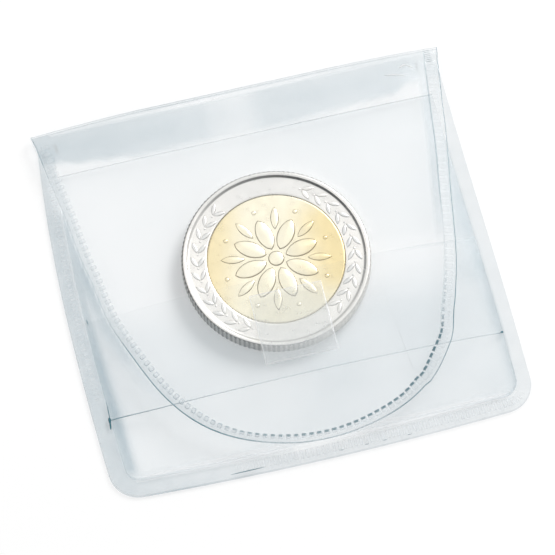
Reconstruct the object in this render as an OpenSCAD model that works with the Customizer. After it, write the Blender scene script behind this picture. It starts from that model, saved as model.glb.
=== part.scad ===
// Clear vinyl coin pouch with a fold-over flap, holding one two-metal coin.
// X runs across the pouch, Y up to the fold and Z out of the table.
// The origin is on the table under the middle of the closed pouch.

/* [Pouch] */
// Width across the two side welds
pouch_w = 58.4; // [52:0.1:70]
// How far the ends of the fold lie in from the side edges
fold_inset = 0.5; // [0:0.1:1.4]
// Height from the fold to the bottom edge
pouch_h = 54.4; // [48:0.1:66]
// Thickness of the clear film
film_t = 0.25; // [0.15:0.01:0.4]
// Radius of the two bottom corners
corner_r = 5; // [2:0.1:8]
// Drop from the fold to the mouth of the pocket
mouth_drop = 6.4; // [4:0.1:9]
// Drop from the fold to where the sides begin to draw in
draw_drop = 27; // [15:0.5:35]

/* [Welds] */
// Width of the side welds
side_weld_w = 2; // [1.5:0.1:3]
// Width of the bottom weld
bottom_weld_w = 2.6; // [2:0.1:4]
// Height of the embossed ribs
rib_h = 0.18; // [0.1:0.01:0.25]
// Width of one rib
rib_w = 0.4; // [0.25:0.01:0.6]
// Distance from one rib to the next
rib_pitch = 1.04; // [0.9:0.01:2]
// Plain margin on both sides of the ribs
rib_margin = 0.35; // [0.2:0.01:0.5]

/* [Coin] */
// Diameter of the coin
coin_d = 25.75; // [20:0.05:28]
// Thickness of the coin at its rim
coin_t = 2.2; // [1.5:0.05:3]
// Diameter of the core
core_d = 18.75; // [12:0.05:19]
// Width of the raised rim
rim_w = 0.8; // [0.4:0.05:1.2]
// Depth of the faces below the rim
rim_h = 0.22; // [0.1:0.01:0.4]
// Number of reeds on the edge
reed_count = 120; // [60:4:160]
// Depth of the reeds
reed_h = 0.1; // [0.05:0.01:0.2]
// Depth of the groove that locks the core in its ring
lock_h = 0.3; // [0.1:0.05:0.5]
// Drop from the fold to the middle of the coin
coin_drop = 25.85; // [22:0.05:30]

/* [Strap] */
// Width of the retaining strap
strap_w = 14.3; // [10:0.1:18]
// Drop from the fold to the upper edge of the strap
strap_drop = 28.6; // [24:0.1:32]
// Thickness of the strap film
strap_t = 0.25; // [0.15:0.01:0.4]
// Side of the square closure patch
patch_side = 10; // [6:0.1:13]
// Thickness of the closure patch
patch_t = 0.4; // [0.2:0.05:0.8]

/* [Flap] */
// Distance from the tip of the flap to the bottom edge
flap_gap = 2.3; // [1:0.1:6]
// Radius of the flap's round tip
flap_tip_r = 27.3; // [20:0.1:34]
// Radius where the tip turns into the sides
flap_corner_r = 20.9; // [14:0.1:26]
// Radius of the gently curved sides
flap_side_r = 215; // [120:1:300]
// Width of the embossed rim
flap_rim_w = 1.45; // [1:0.05:2.5]
// Height of the flat land under the rim's ribs
land_h = 0.05; // [0.02:0.01:0.1]

/* [Clearances] */
// Play between the coin and the films above and below it
coin_play = 0.1; // [0.05:0.01:0.3]
// Play between the coin's edge and the start of the film's slope
lane_play = 0.42; // [0.2:0.01:0.8]
// Play between two films that lie on each other
film_play = 0.05; // [0.02:0.01:0.1]
// Play between the patch and the flap over it
flap_play = 0.15; // [0.1:0.01:0.3]
// Gap between the flap film and the film of the fold
fold_play = 0.03; // [0.01:0.01:0.1]

/* [Hidden] */
$fn = 48;

// Angles that the flap's outline turns through on its tip, its corner and its side
flap_tip_angle = 18.8;
flap_corner_angle = 56;
flap_side_angle = 9.9;
// Steps along one arc of the outline
arc_steps = 14;
// How far cuts run past what they cut
overrun = 5;

fold_y = pouch_h / 2;
bottom_y = -pouch_h / 2;
fold_w = pouch_w - 2 * fold_inset;
flap_drop = pouch_h - flap_gap;
mouth_y = fold_y - mouth_drop;
coin_y = fold_y - coin_drop;
coin_r = coin_d / 2;
core_r = core_d / 2;
strap_top_y = fold_y - strap_drop;
patch_y = strap_top_y - strap_w / 2;
inner_w = pouch_w - 2 * side_weld_w;
inner_bottom_y = bottom_y + bottom_weld_w;

// Heights of the films over the coin, from the table up
coin_z = film_t + coin_play;
pocket_z = coin_z + coin_t + coin_play;
front_z = pocket_z + film_t;
strap_z = front_z + film_play + strap_t;
patch_z = strap_z + patch_t;
flap_z = patch_z + flap_play + film_t;

// Heights of the films where they meet the welds
front_edge_z = film_t + film_t;
strap_edge_z = front_edge_z + film_play + strap_t;
flap_edge_z = strap_edge_z + rib_h + flap_play + film_t;

// The raised lane over the coin runs on to the fold, so that the coin can slide out
lane_r = coin_r + lane_play;

// The fold is a loop of film, tall over the lane and flat at the two ends
fold_r = flap_z / 2;
fold_root_y = fold_y - fold_r;
slope = (flap_z - flap_edge_z) / (pouch_w / 2 - lane_r);
fold_end_r = (flap_edge_z + slope * fold_inset) / 2;

// Points along an arc that starts at a point with a heading and turns left
function walk(from, heading, r, turn) = [
    for (i = [0:arc_steps])
        let (a = heading + turn * i / arc_steps)
            from + r * [sin(a) - sin(heading), cos(heading) - cos(a)]
];
function last(points) = points[len(points) - 1];

// The flap's right half from its tip to the fold, as three arcs that run into each other
flap_tip = walk([0, 0], 0, flap_tip_r, flap_tip_angle);
flap_corner = walk(last(flap_tip), flap_tip_angle, flap_corner_r, flap_corner_angle);
flap_side = walk(last(flap_corner), flap_tip_angle + flap_corner_angle, flap_side_r, flap_side_angle);
flap_reach = last(flap_side);
flap_scale = [fold_w / 2 / flap_reach[0], flap_drop / flap_reach[1]];
flap_half = [
    for (arc = [flap_tip, flap_corner, flap_side])
        for (p = arc)
            [p[0] * flap_scale[0], p[1] * flap_scale[1] + fold_y - flap_drop]
];

// The pouch seen from above, with its bottom corners rounded
module pouch_outline() {
    half = pouch_w / 2;
    corner_x = half - corner_r;
    corner_y = bottom_y + corner_r;
    for (side = [-1, 1])
        translate([side * corner_x, corner_y]) circle(corner_r);
    translate([-corner_x, bottom_y]) square([2 * corner_x, pouch_h / 2]);
    polygon([
        [-half, corner_y],
        [half, corner_y],
        [half, fold_y - draw_drop],
        [fold_w / 2, fold_y],
        [-fold_w / 2, fold_y],
        [-half, fold_y - draw_drop]
    ]);
}

// The field inside the welds
module pocket_outline() {
    translate([-inner_w / 2, inner_bottom_y])
        square([inner_w, fold_y - inner_bottom_y]);
}

// The raised part of each film: round over the coin, then straight up to the fold
module lane_outline() {
    translate([0, coin_y]) circle(lane_r);
    translate([-lane_r, coin_y]) square([2 * lane_r, fold_y - coin_y]);
}

module flap_outline() {
    polygon(concat(flap_half, [for (i = [len(flap_half) - 1:-1:0]) [-flap_half[i][0], flap_half[i][1]]]));
}

// Everything under a film that slopes from the welds up to the lane
module under_pocket(edge_z, top_z) {
    hull() {
        linear_extrude(edge_z) pocket_outline();
        linear_extrude(top_z) lane_outline();
    }
}

module under_flap(edge_z, top_z) {
    hull() {
        linear_extrude(edge_z) pouch_outline();
        linear_extrude(top_z) lane_outline();
    }
}

// A film of the pocket, as thick as given, with its outer face at the given heights
module pocket_film(edge_z, top_z, thick) {
    difference() {
        under_pocket(edge_z, top_z);
        under_pocket(edge_z - thick, top_z - thick);
    }
}

// Everything between two lines across the pouch
module band(low_y, high_y, wide) {
    translate([-wide / 2, low_y, -overrun])
        cube([wide, high_y - low_y, flap_z + 2 * overrun]);
}

// Bars in a row along X, each across the row
module rib_row(length, width) {
    count = floor(length / rib_pitch);
    for (i = [0:count - 1])
        translate([(i + 0.5 - count / 2) * rib_pitch - rib_w / 2, rib_margin - width / 2])
            square([rib_w, width - 2 * rib_margin]);
}

module back_panel() {
    color("lightcyan", 0.5)
        translate([-inner_w / 2, inner_bottom_y, 0])
            cube([inner_w, fold_root_y - inner_bottom_y, film_t]);
}

module front_panel() {
    color("lightcyan", 0.5)
        intersection() {
            pocket_film(front_edge_z, front_z, film_t);
            band(bottom_y, mouth_y, pouch_w);
        }
}

module retaining_strap() {
    color("paleturquoise", 0.5)
        intersection() {
            pocket_film(strap_edge_z, strap_z, strap_t);
            band(strap_top_y - strap_w, strap_top_y, pouch_w);
        }
}

module closure_patch() {
    color("white", 0.6)
        intersection() {
            pocket_film(strap_edge_z + patch_t, patch_z, patch_t);
            band(patch_y - patch_side / 2, patch_y + patch_side / 2, patch_side);
        }
}

// One side weld, where the strap is fused in between the outer films
module side_weld(side) {
    length = fold_root_y - inner_bottom_y;
    middle = (fold_root_y + inner_bottom_y) / 2;
    rib_x = side * (inner_w + side_weld_w) / 2;
    color("powderblue", 0.7) {
        linear_extrude(strap_edge_z)
            intersection() {
                pouch_outline();
                translate([side > 0 ? inner_w / 2 : -pouch_w / 2, inner_bottom_y])
                    square([side_weld_w, length]);
            }
        translate([0, 0, strap_edge_z])
            linear_extrude(rib_h)
                intersection() {
                    translate([rib_x, middle]) rotate(90) rib_row(length, side_weld_w);
                    offset(delta = -rib_margin) pouch_outline();
                }
    }
}

module left_weld() {
    side_weld(-1);
}

module right_weld() {
    side_weld(1);
}

module bottom_weld() {
    color("powderblue", 0.7) {
        linear_extrude(front_edge_z)
            intersection() {
                pouch_outline();
                translate([-pouch_w / 2, bottom_y]) square([pouch_w, bottom_weld_w]);
            }
        translate([0, bottom_y + bottom_weld_w / 2, front_edge_z])
            linear_extrude(rib_h)
                rib_row(pouch_w - 2 * corner_r, bottom_weld_w);
    }
}

// A bar along X whose middle is round and tall and whose ends are round and flat
module fold_bar(inset) {
    hull() {
        translate([0, fold_root_y, fold_r])
            rotate([0, 90, 0]) cylinder(r = fold_r - inset, h = 2 * lane_r, center = true);
        for (side = [-1, 1])
            translate([side * fold_w / 2, 0, fold_end_r]) {
                translate([-side * film_t / 2, fold_y - fold_end_r, 0])
                    rotate([0, 90, 0]) cylinder(r = fold_end_r - inset, h = film_t, center = true);
                translate([-side * film_t / 2 - film_t / 2, fold_root_y - overrun, inset - fold_end_r])
                    cube([film_t, overrun + fold_r - fold_end_r, 2 * (fold_end_r - inset)]);
            }
    }
}

module fold_hinge() {
    color("skyblue", 0.5)
        intersection() {
            difference() {
                fold_bar(0);
                fold_bar(film_t);
            }
            band(fold_root_y, fold_y + overrun, pouch_w);
        }
}

module flap_panel() {
    color("aliceblue", 0.5)
        intersection() {
            difference() {
                under_flap(flap_edge_z, flap_z);
                under_flap(flap_edge_z - film_t, flap_z - film_t);
            }
            translate([0, 0, -overrun])
                linear_extrude(flap_z + 2 * overrun) flap_outline();
            band(bottom_y, fold_root_y - fold_play, pouch_w);
        }
}

// How far each point of the flap's right half lies from the tip, along the edge
function reached(points, i) = i == 0 ? 0 : reached(points, i - 1) + norm(points[i] - points[i - 1]);

// Ribs across the flap's edge, one after another from the tip up both sides
module rim_bars() {
    along = [for (i = [0:len(flap_half) - 1]) reached(flap_half, i)];
    for (side = [-1, 1], k = [0:floor(last(along) / rib_pitch) - 1]) {
        s = (k + 0.5) * rib_pitch;
        i = min([for (j = [1:len(along) - 1]) if (along[j] > s) j]);
        run = flap_half[i] - flap_half[i - 1];
        at = flap_half[i - 1] + run * (s - along[i - 1]) / (along[i] - along[i - 1]);
        translate([side * at[0], at[1]])
            rotate(side * atan2(run[1], run[0]))
                translate([-rib_w / 2, 0])
                    square([rib_w, flap_rim_w]);
    }
}

// What stands on a part of the flap's film, down to the table
module flap_relief(thick) {
    intersection() {
        under_flap(flap_edge_z + thick, flap_z + thick);
        translate([0, 0, -overrun])
            linear_extrude(flap_z + 2 * overrun)
                intersection() {
                    children();
                    flap_outline();
                }
    }
}

module flap_rim_weld() {
    color("powderblue", 0.7)
        difference() {
            union() {
                flap_relief(land_h)
                    difference() {
                        flap_outline();
                        offset(delta = -flap_rim_w) flap_outline();
                    }
                flap_relief(rib_h) rim_bars();
            }
            under_flap(flap_edge_z, flap_z);
            band(fold_root_y - fold_play, fold_y + overrun, pouch_w);
        }
}

// Where the ring grips the core, from the lower face to the upper face
lock_profile = [
    [core_r, rim_h],
    [core_r, coin_t / 2 - lock_h],
    [core_r - lock_h, coin_t / 2],
    [core_r, coin_t / 2 + lock_h],
    [core_r, coin_t - rim_h]
];

// The coin's edge as a gear-like outline
module reed_outline() {
    polygon([
        for (i = [0:2 * reed_count - 1])
            let (a = 180 * i / reed_count, r = coin_r - (i % 2) * reed_h)
                [r * cos(a), r * sin(a)]
    ]);
}

module coin_ring() {
    root_r = coin_r - reed_h;
    color("silver")
        translate([0, coin_y, coin_z]) {
            rotate_extrude($fn = 120)
                polygon(concat(lock_profile, [
                    [coin_r - rim_w - rim_h, coin_t - rim_h],
                    [coin_r - rim_w, coin_t],
                    [root_r - rim_h, coin_t],
                    [root_r, coin_t - rim_h],
                    [root_r, rim_h],
                    [root_r - rim_h, 0],
                    [coin_r - rim_w, 0],
                    [coin_r - rim_w - rim_h, rim_h]
                ]));
            translate([0, 0, rim_h])
                linear_extrude(coin_t - 2 * rim_h)
                    difference() {
                        reed_outline();
                        circle(coin_r - rim_w, $fn = 120);
                    }
        }
}

module coin_core() {
    color("goldenrod")
        translate([0, coin_y, coin_z])
            rotate_extrude($fn = 120)
                polygon(concat([[0, rim_h]], lock_profile, [[0, coin_t - rim_h]]));
}

back_panel();
front_panel();
retaining_strap();
closure_patch();
left_weld();
right_weld();
bottom_weld();
fold_hinge();
flap_panel();
flap_rim_weld();
coin_ring();
coin_core();
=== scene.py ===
import math
import bmesh
import bpy
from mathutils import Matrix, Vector, noise
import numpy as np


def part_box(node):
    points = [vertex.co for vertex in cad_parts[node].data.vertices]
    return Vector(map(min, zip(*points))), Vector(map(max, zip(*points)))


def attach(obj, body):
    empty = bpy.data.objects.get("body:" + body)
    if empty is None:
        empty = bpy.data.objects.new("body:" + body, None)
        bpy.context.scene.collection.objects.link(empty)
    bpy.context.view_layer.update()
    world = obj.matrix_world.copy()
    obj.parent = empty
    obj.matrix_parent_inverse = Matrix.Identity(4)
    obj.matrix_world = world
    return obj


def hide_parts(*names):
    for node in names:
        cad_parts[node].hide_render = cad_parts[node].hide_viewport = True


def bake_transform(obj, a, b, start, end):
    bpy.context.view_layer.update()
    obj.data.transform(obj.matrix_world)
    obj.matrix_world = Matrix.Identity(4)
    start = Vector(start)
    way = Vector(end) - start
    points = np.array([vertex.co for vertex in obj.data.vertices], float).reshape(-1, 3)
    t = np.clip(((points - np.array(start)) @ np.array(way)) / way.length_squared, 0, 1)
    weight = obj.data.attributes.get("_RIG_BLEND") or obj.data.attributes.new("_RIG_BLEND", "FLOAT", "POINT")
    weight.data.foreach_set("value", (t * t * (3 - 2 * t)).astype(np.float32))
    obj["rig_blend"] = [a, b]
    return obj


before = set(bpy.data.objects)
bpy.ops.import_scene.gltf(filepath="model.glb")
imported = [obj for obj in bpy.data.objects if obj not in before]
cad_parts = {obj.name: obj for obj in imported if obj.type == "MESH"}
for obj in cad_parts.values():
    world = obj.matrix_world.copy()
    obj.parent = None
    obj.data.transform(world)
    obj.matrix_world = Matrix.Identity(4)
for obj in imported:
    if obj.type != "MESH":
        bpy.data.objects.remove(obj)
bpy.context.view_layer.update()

mm = 0.001
print("frame loaded")


def nodeBox(node):  # lowest and highest corner of a CAD node, in millimetres
    low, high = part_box(node)
    return low / mm, high / mm


backLow, backHigh = nodeBox("back_panel")
frontHigh = nodeBox("front_panel")[1]
strapLow, strapHigh = nodeBox("retaining_strap")
padLow, padHigh = nodeBox("closure_patch")
seamLow = nodeBox("left_weld")[0]
hemLow, hemHigh = nodeBox("bottom_weld")
foldHigh = nodeBox("fold_hinge")[1]
flapLow, flapHigh = nodeBox("flap_panel")
ringLow, ringHigh = nodeBox("coin_ring")
coreLow, coreHigh = nodeBox("coin_core")

filmThickness = backHigh.z - backLow.z
rootY = backHigh.y
coinCentre = (ringLow + ringHigh) / 2
coinRadius = (ringHigh.x - ringLow.x) / 2
coreRadius = (coreHigh.x - coreLow.x) / 2

# Camera and studio

camera = {  # fitted so that the pouch's corners and the coin's outline fall where the photo has them
    "azimuth": -13.669,
    "elevation": 68.355,
    "distance": 501.4,
    "target": (-0.28, -0.50, 0.0),
    "lens": 239.7,
    "sensor": 36.0,
    "clip": (0.01, 20),
}


def newObject(name, data, *materials):
    thing = bpy.data.objects.new(name, data)
    bpy.context.scene.collection.objects.link(thing)
    for material in materials:
        data.materials.append(material)
    return thing


def aim(thing, place, back):  # puts a camera or lamp at a place, with its back to a direction
    thing.location = place
    thing.rotation_mode = "QUATERNION"
    thing.rotation_quaternion = (-back).to_track_quat("-Z", "Y")


def makeCamera():
    azimuth = math.radians(camera["azimuth"])
    elevation = math.radians(camera["elevation"])
    back = Vector((
        math.sin(azimuth) * math.cos(elevation),
        -math.cos(azimuth) * math.cos(elevation),
        math.sin(elevation),
    ))
    data = bpy.data.cameras.new("photoCamera")
    data.lens = camera["lens"]
    data.sensor_width = camera["sensor"]
    data.clip_start, data.clip_end = camera["clip"]
    thing = newObject("photoCamera", data)
    aim(thing, (Vector(camera["target"]) + back * camera["distance"]) * mm, back)
    bpy.context.scene.camera = thing


def addNode(tree, kind, inputs=None, **settings):
    node = tree.nodes.new(kind)
    for key, value in settings.items():
        setattr(node, key, value)
    for key, value in (inputs or {}).items():
        if isinstance(value, bpy.types.NodeSocket):
            tree.links.new(value, node.inputs[key])
        else:
            node.inputs[key].default_value = value
    return node


def calc(tree, operation, *values, clamp=False):
    node = addNode(tree, "ShaderNodeMath", dict(enumerate(values)), operation=operation)
    node.use_clamp = clamp
    return node.outputs[0]


def mixColour(tree, share, first, second):
    return addNode(tree, "ShaderNodeMix", {0: share, 6: first, 7: second}, data_type="RGBA").outputs[2]


def opaque(colour):
    return (*colour, 1.0)


def newMaterial(name):
    material = bpy.data.materials.new(name)
    material.use_nodes = True
    material.node_tree.nodes.clear()
    return material, material.node_tree, material.node_tree.nodes.new("ShaderNodeOutputMaterial")


studio = {
    "floorSize": 3.0,
    "floorDrop": 0.02,
    "floorColour": (0.82, 0.82, 0.82),
    "floorGlow": 0.235,
    "worldColour": (1.0, 1.0, 1.0),
    "worldStrength": 0.56,
    "backgroundStrength": 1.0,
    "keyPlace": (0.80, 0.68, 0.84),
    "keySize": 0.60,
    "keyPower": 10.6,
    "fillPlace": (-0.35, 0.10, 0.50),
    "fillSize": 0.4,
    "fillPower": 0.25,
    "clearBounces": 48,
    "bounces": 16,
}


def seenDirectly(tree):  # 1 for rays that show the background: from the camera, off gloss or through glass
    path = addNode(tree, "ShaderNodeLightPath")
    seen = calc(tree, "MAXIMUM", path.outputs["Is Camera Ray"], path.outputs["Is Glossy Ray"])
    return calc(tree, "MAXIMUM", seen, path.outputs["Is Transmission Ray"])


def makeFloor():
    half = studio["floorSize"] / 2
    mesh = bpy.data.meshes.new("floor")
    drop = -studio["floorDrop"] * mm
    mesh.from_pydata([(-half, -half, drop), (half, -half, drop), (half, half, drop), (-half, half, drop)],
                     [], [(0, 1, 2, 3)])
    material, tree, out = newMaterial("floorPaper")
    paper = addNode(tree, "ShaderNodeBsdfDiffuse", {"Color": opaque(studio["floorColour"])})
    glow = calc(tree, "MULTIPLY", seenDirectly(tree), studio["floorGlow"])
    light = addNode(tree, "ShaderNodeEmission", {"Color": opaque(studio["worldColour"]), "Strength": glow})
    both = addNode(tree, "ShaderNodeAddShader", {0: paper.outputs[0], 1: light.outputs[0]})
    tree.links.new(both.outputs[0], out.inputs["Surface"])
    floor = newObject("floor", mesh, material)


def makeWorld():
    world = bpy.data.worlds.new("studio")
    world.use_nodes = True
    tree = world.node_tree
    tree.nodes.clear()
    gain = studio["backgroundStrength"] - studio["worldStrength"]
    strength = calc(tree, "MULTIPLY_ADD", seenDirectly(tree), gain, studio["worldStrength"])
    sky = addNode(tree, "ShaderNodeBackground", {
        "Color": opaque(studio["worldColour"]), "Strength": strength,
    })
    out = tree.nodes.new("ShaderNodeOutputWorld")
    tree.links.new(sky.outputs[0], out.inputs["Surface"])
    bpy.context.scene.world = world


def makeLamp(name, place, size, power):
    data = bpy.data.lights.new(name, "AREA")
    data.size = size
    data.energy = power
    aim(newObject(name, data), place, Vector(place))


def makeStudio():
    makeFloor()
    makeWorld()
    makeLamp("keyLamp", studio["keyPlace"], studio["keySize"], studio["keyPower"])
    makeLamp("fillLamp", studio["fillPlace"], studio["fillSize"], studio["fillPower"])
    bpy.context.scene.view_settings.view_transform = "Standard"
    bpy.context.scene.cycles.transparent_max_bounces = studio["clearBounces"]
    bpy.context.scene.cycles.max_bounces = studio["bounces"]


makeCamera()
makeStudio()
print("camera and studio made")


# Shared effects

def newGroup(name, inputs, outputs):
    group = bpy.data.node_groups.new(name, "ShaderNodeTree")
    for label, kind, value in inputs:
        group.interface.new_socket(label, in_out="INPUT", socket_type=kind).default_value = value
    for label, kind in outputs:
        group.interface.new_socket(label, in_out="OUTPUT", socket_type=kind)
    return group, group.nodes.new("NodeGroupInput").outputs, group.nodes.new("NodeGroupOutput").inputs


number, colour = "NodeSocketFloat", "NodeSocketColor"


def cloud(tree, scale, detail):  # a soft random mask over the object
    place = addNode(tree, "ShaderNodeTexCoord").outputs["Object"]
    return addNode(tree, "ShaderNodeTexNoise", {
        "Vector": place, "Scale": scale, "Detail": detail,
    }).outputs["Fac"]


def makeFilmTone():  # colour and density of a clear film, denser where it has painted shade, milkiness and painted highlights
    group, given, result = newGroup("filmTone", [
        ("Clear Color", colour, (1, 1, 1, 1)),
        ("Shade Color", colour, (0.5, 0.6, 0.65, 1)),
        ("Milk And Highlight Color", colour, (1, 1, 1, 1)),
        ("Clear Alpha", number, 0.06),
        ("Shade Alpha", number, 0.3),
        ("Milk And Highlight Alpha", number, 0.3),
        ("Shade", number, 0.0),
        ("Milk And Highlight", number, 0.0),
        ("Mottle Scale", number, 200.0),
        ("Mottle", number, 0.2),
    ], [("Color", colour), ("Alpha", number)])
    mottle = calc(group, "SUBTRACT", cloud(group, given["Mottle Scale"], 3.0), 0.5)
    lift = calc(group, "MULTIPLY_ADD", mottle, given["Mottle"], 1.0)
    shade = calc(group, "MULTIPLY", given["Shade"], lift, clamp=True)
    milkAndPaintedLight = calc(group, "MULTIPLY", given["Milk And Highlight"], lift, clamp=True)
    tint = mixColour(group, shade, given["Clear Color"], given["Shade Color"])
    tint = mixColour(group, milkAndPaintedLight, tint, given["Milk And Highlight Color"])
    density = calc(group, "MULTIPLY", given["Clear Alpha"], lift)
    density = calc(group, "MULTIPLY_ADD", given["Shade Alpha"], shade, density)
    density = calc(group, "MULTIPLY_ADD", given["Milk And Highlight Alpha"], milkAndPaintedLight, density, clamp=True)
    group.links.new(tint, result["Color"])
    group.links.new(density, result["Alpha"])
    return group


def makeSurfaceGrain():  # fine unevenness of a surface, as roughness and height
    group, given, result = newGroup("surfaceGrain", [
        ("Scale", number, 300.0),
        ("Low", number, 0.1),
        ("High", number, 0.2),
    ], [("Roughness", number), ("Height", number)])
    fine = cloud(group, given["Scale"], 4.0)
    spread = addNode(group, "ShaderNodeMapRange", {
        "Value": fine, "From Min": 0.3, "From Max": 0.7, "To Min": given["Low"], "To Max": given["High"],
    }).outputs["Result"]
    group.links.new(spread, result["Roughness"])
    group.links.new(fine, result["Height"])
    return group


filmTone = makeFilmTone()
surfaceGrain = makeSurfaceGrain()


def attribute(tree, name):
    return addNode(tree, "ShaderNodeAttribute", attribute_name=name).outputs["Fac"]


def grained(tree, look):  # the shader's inputs for a finely uneven surface
    low, high = look["roughness"]
    values = {"Scale": look["grainScale"], "Low": low, "High": high}
    grain = addNode(tree, "ShaderNodeGroup", values, node_tree=surfaceGrain).outputs
    bump = addNode(tree, "ShaderNodeBump", {
        "Height": grain["Height"], "Strength": look["bump"], "Distance": look["bumpDepth"] * mm,
    })
    return {"Roughness": grain["Roughness"], "Normal": bump.outputs["Normal"]}


def filmMaterial(name, look):
    material, tree, out = newMaterial(name)
    tone = addNode(tree, "ShaderNodeGroup", {
        "Clear Color": opaque(look["clear"]),
        "Shade Color": opaque(look["shade"]),
        "Milk And Highlight Color": opaque(look["milkAndPaintedLight"]),
        "Clear Alpha": look["clearAlpha"],
        "Shade Alpha": look["shadeAlpha"],
        "Milk And Highlight Alpha": look["milkAndHighlightAlpha"],
        "Shade": attribute(tree, "shade"),
        "Milk And Highlight": attribute(tree, "milkAndPaintedLight"),
        "Mottle Scale": look["mottleScale"],
        "Mottle": look["mottle"],
    }, node_tree=filmTone).outputs
    body = addNode(tree, "ShaderNodeBsdfPrincipled", {
        "Base Color": tone["Color"],
        "Alpha": tone["Alpha"],
        "Specular IOR Level": look["specular"],
        **grained(tree, look),
    })
    lampRay = addNode(tree, "ShaderNodeLightPath").outputs["Is Shadow Ray"]
    clearGap = addNode(tree, "ShaderNodeBsdfTransparent")
    mixed = addNode(tree, "ShaderNodeMixShader", {
        0: calc(tree, "MULTIPLY", lampRay, look["lampThrough"]),
        1: body.outputs[0],
        2: clearGap.outputs[0],
    })
    tree.links.new(mixed.outputs[0], out.inputs["Surface"])
    return material


# the shade colour is for painted shade, and the white one after it for milkiness and painted highlights
filmLook = {
    "clear": (0.50, 0.60, 0.65),
    "shade": (0.21, 0.36, 0.44),
    "milkAndPaintedLight": (0.97, 0.98, 0.99),
    "clearAlpha": 0.018,
    "shadeAlpha": 0.40,
    "milkAndHighlightAlpha": 0.30,
    "mottleScale": 160.0,
    "mottle": 0.3,
    "grainScale": 900.0,
    "roughness": (0.06, 0.14),
    "bump": 0.1,
    "bumpDepth": 0.05,
    "specular": 0.4,
    "lampThrough": 0.8,
}
pocketLook = dict(filmLook, specular=0.25)
# cut edges, nicks and ticks: the film's tint seen through its edge, with painted shade that varies along it
cutLook = dict(filmLook, clear=(0.45, 0.55, 0.60), shade=(0.04, 0.18, 0.23), clearAlpha=0.06,
               shadeAlpha=0.85, lampThrough=0.0)
# the pocket's mouth: a grey line, partly painted shade
paleCutLook = dict(cutLook, clear=(0.45, 0.49, 0.52), clearAlpha=0.20)
# welds: painted shade, darkest along the left weld
weldLook = dict(filmLook, mottleScale=500.0, mottle=0.5, roughness=(0.14, 0.32), lampThrough=0.2)
# tops of the welding pads: painted highlight; also the highlight strip along the bottom weld and the glints on the
# flap
ribLook = dict(weldLook, mottle=0.2, clear=(0.93, 0.96, 0.98), clearAlpha=0.02, shadeAlpha=0.0,
               milkAndHighlightAlpha=0.75)
# sides and inner ends of the pads: painted shade
ribWallLook = dict(weldLook, shade=(0.03, 0.13, 0.17), clearAlpha=0.02, shadeAlpha=0.95, milkAndHighlightAlpha=0.0,
                   specular=0.2)
# painted shade along the fold's crease
creaseLook = dict(filmLook, shade=(0.20, 0.29, 0.33), specular=0.1)
padLook = dict(filmLook, clear=(0.70, 0.74, 0.75), clearAlpha=0.03)

film = filmMaterial("clearFilm", filmLook)
pocketFilm = filmMaterial("pocketFilm", pocketLook)
cutEdge = filmMaterial("cutEdge", cutLook)
paleEdge = filmMaterial("paleCutEdge", paleCutLook)
weld = filmMaterial("weldedFilm", weldLook)
rib = filmMaterial("ribTop", ribLook)
ribWall = filmMaterial("ribWall", ribWallLook)
padVinyl = filmMaterial("padVinyl", padLook)
creaseShade = filmMaterial("foldCreaseShade", creaseLook)
print("film materials made")


# How the films lie

drape = {
    "laneSpare": 0.42,
    "puff": 1.5,
    "cornerPower": 4.0,
    "mouthFall": 0.85,
    "mouthFallStart": 15.0,
}
laneRadius = coinRadius + drape["laneSpare"]


def smoothStep(low, high, value):
    share = min(1.0, max(0.0, (value - low) / (high - low)))
    return share * share * (3 - 2 * share)


def laneGap(x, y):  # how far a point lies outside the raised lane from the coin to the fold
    return max(0.0, math.hypot(x - coinCentre.x, min(0.0, y - coinCentre.y)) - laneRadius)


def edgeGap(x, y, half, bottom):  # distance to the sides and the bottom, rounded where they meet
    side, low = half - abs(x), y - bottom
    if side <= 0 or low <= 0:
        return 0.0
    power = drape["cornerPower"]
    return (side ** -power + low ** -power) ** (-1 / power)


def rise(x, y, half, bottom):  # 0 on the weld and 1 over the coin, puffed in between
    edge = edgeGap(x, y, half, bottom)
    gap = laneGap(x, y)
    share = edge / (edge + gap) if edge > 0 else 0.0
    return 1 - (1 - share) ** drape["puff"]


def pocketTop(x, y, low, high):
    return low + (high - low) * rise(x, y, backHigh.x, hemHigh.y)


def frontTop(x, y):
    lifted = pocketTop(x, y, 2 * filmThickness, frontHigh.z) - 2 * filmThickness
    fall = drape["mouthFall"] * smoothStep(drape["mouthFallStart"], frontHigh.y, y)
    return 2 * filmThickness + lifted * (1 - fall)


def strapTop(x, y):
    return pocketTop(x, y, strapLow.z + filmThickness, strapHigh.z)


def padTop(x, y):
    return strapTop(x, y) + padHigh.z - strapHigh.z


def flapTop(x, y):
    low = flapLow.z + filmThickness
    return low + (flapHigh.z - low) * rise(x, y, -seamLow.x, hemLow.y)


# Outlines, as chains of points in millimetres

pouchShape = {
    "leftHalf": 29.4,
    "leftUpperBow": 1.4,
    "leftLowerBow": 0.75,
    "rightTopHalf": 28.8,
    "rightSpread": 0.45,
    "rightSpreadSpan": (-15, 20),
    "cornerRadius": 4.2,
    "bottomSag": 0.2,
    "bottomBow": 0.5,
    "bottomBowHalf": 22,
    "leftWeld": 2.3,
    "bottomWeld": 2.7,
    "rightWeld": 1.9,
    "weldCorners": (0.27, 0.36, 0.64, 0.73),  # as shares of the welded edge's length
    "lineSteps": 60,
    "cornerSteps": 16,
    "step": 0.5,
}

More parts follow.
